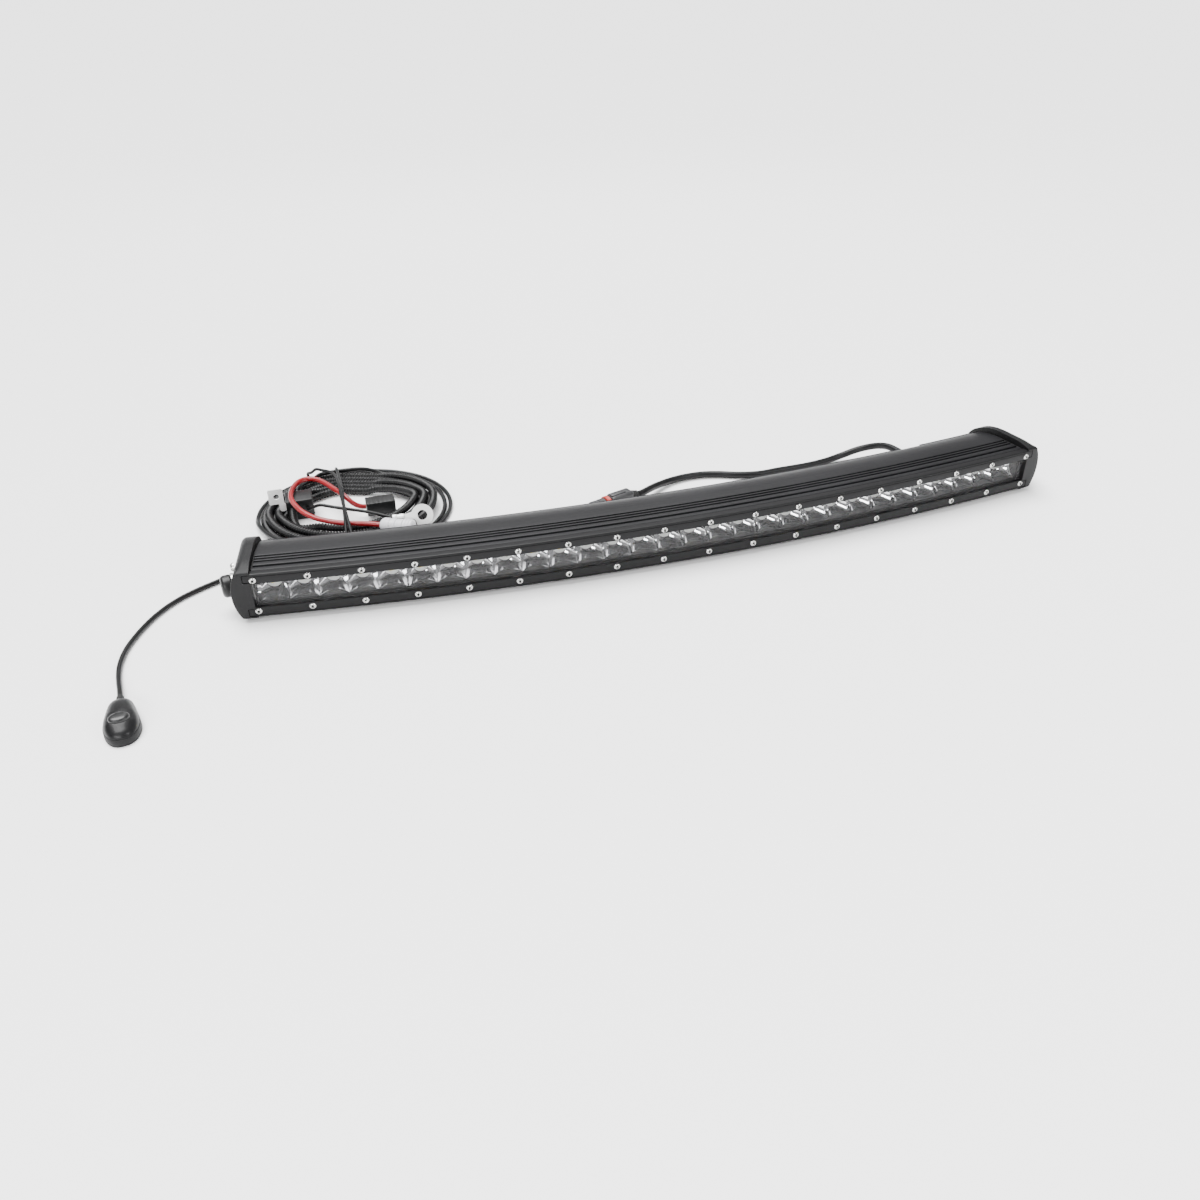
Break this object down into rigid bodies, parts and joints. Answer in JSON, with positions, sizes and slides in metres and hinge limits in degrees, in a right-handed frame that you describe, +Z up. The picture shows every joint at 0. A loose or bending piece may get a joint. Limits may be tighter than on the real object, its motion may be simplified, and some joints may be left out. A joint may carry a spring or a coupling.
{
  "type": "curved led light bar",
  "caption": "Curved single-row LED light bar with ribbed back, round-backed end caps, side bolts and a coiled wiring harness that ends in a push-button switch pod.",
  "frame": {"origin": "under the middle of the bar, on the surface it stands on; the front-to-back middle of the bar without its cords", "axes": "+X along the bar, from its left end to its right end as seen from the front; +Z up; the lens looks towards -Y"},
  "size_m": [0.8915, 0.4056, 0.051],
  "materials": {
    "housing": "satin dark grey anodised",
    "bezel": "matte black",
    "lens": "clear polycarbonate",
    "seal": "matte black",
    "reflector": "vacuum metallised",
    "led_board": "white solder mask",
    "end_cap": "fine black texture",
    "stainless": "bright",
    "side_bolt": "matte black",
    "gland": "black nylon",
    "cable": "smooth black jacket with a slight sheen",
    "loom": "black ribbed loom",
    "connector": "dark grey",
    "red_seal": "red silicone",
    "relay": "black",
    "plated_steel": "bright plated",
    "fuse_holder": "translucent clear",
    "red_wire": "red jacket",
    "tie": "black",
    "switch_shell": "glossy black",
    "switch_button": "satin black",
    "switch_board": "green circuit board"
  },
  "bodies": {
    "bar": {"housing": "housing", "upper_bezel": "bezel", "lower_bezel": "bezel", "bezel_screw_upper_left": "stainless", "bezel_screw_upper_right": "stainless", "bezel_screw_lower_left": "stainless", "bezel_screw_lower_right": "stainless", "end_screw_left_upper": "stainless", "end_screw_left_lower": "stainless", "end_screw_right_upper": "stainless", "end_screw_right_lower": "stainless", "left_side_washer": "stainless", "right_side_washer": "stainless", "lens": "lens", "lens_gasket": "seal", "left_end_gasket": "seal", "right_end_gasket": "seal", "plug_boot": "seal", "switch_strain_relief": "seal", "reflector_1": "reflector", "reflector_2": "reflector", "reflector_3": "reflector", "reflector_4": "reflector", "reflector_5": "reflector", "reflector_6": "reflector", "led_board_1": "led_board", "led_board_2": "led_board", "led_board_3": "led_board", "led_board_4": "led_board", "led_board_5": "led_board", "led_board_6": "led_board", "left_end_cap": "end_cap", "right_end_cap": "end_cap", "left_side_bolt": "side_bolt", "right_side_bolt": "side_bolt", "gland_body": "gland", "gland_nut": "gland", "vent_plug": "gland", "pigtail": "cable", "switch_lead": "cable", "ground_wire": "cable", "plug_shell": "connector", "socket_shell": "connector", "plug_seal": "red_seal", "harness_lead": "loom", "harness_coil": "loom", "coil_tie": "tie", "relay_body": "relay", "wire_block": "relay", "relay_tab": "plated_steel", "ring_terminal": "plated_steel", "switch_spring": "plated_steel", "power_wire": "red_wire", "fuse_holder": "fuse_holder", "fuse_cap": "fuse_holder", "switch_shell": "switch_shell", "switch_base": "switch_shell", "switch_board": "switch_board"},
    "button": {"switch_button": "switch_button"}
  },
  "joints": [
    {"name": "button_press", "type": "slide", "parent": "bar", "child": "button", "axis": [0, 0, -1], "range_m": [0, 0.0015], "stiffness_N_per_m": 400, "springref_m": -0.002, "deforming": ["switch_spring"]}
  ]
}
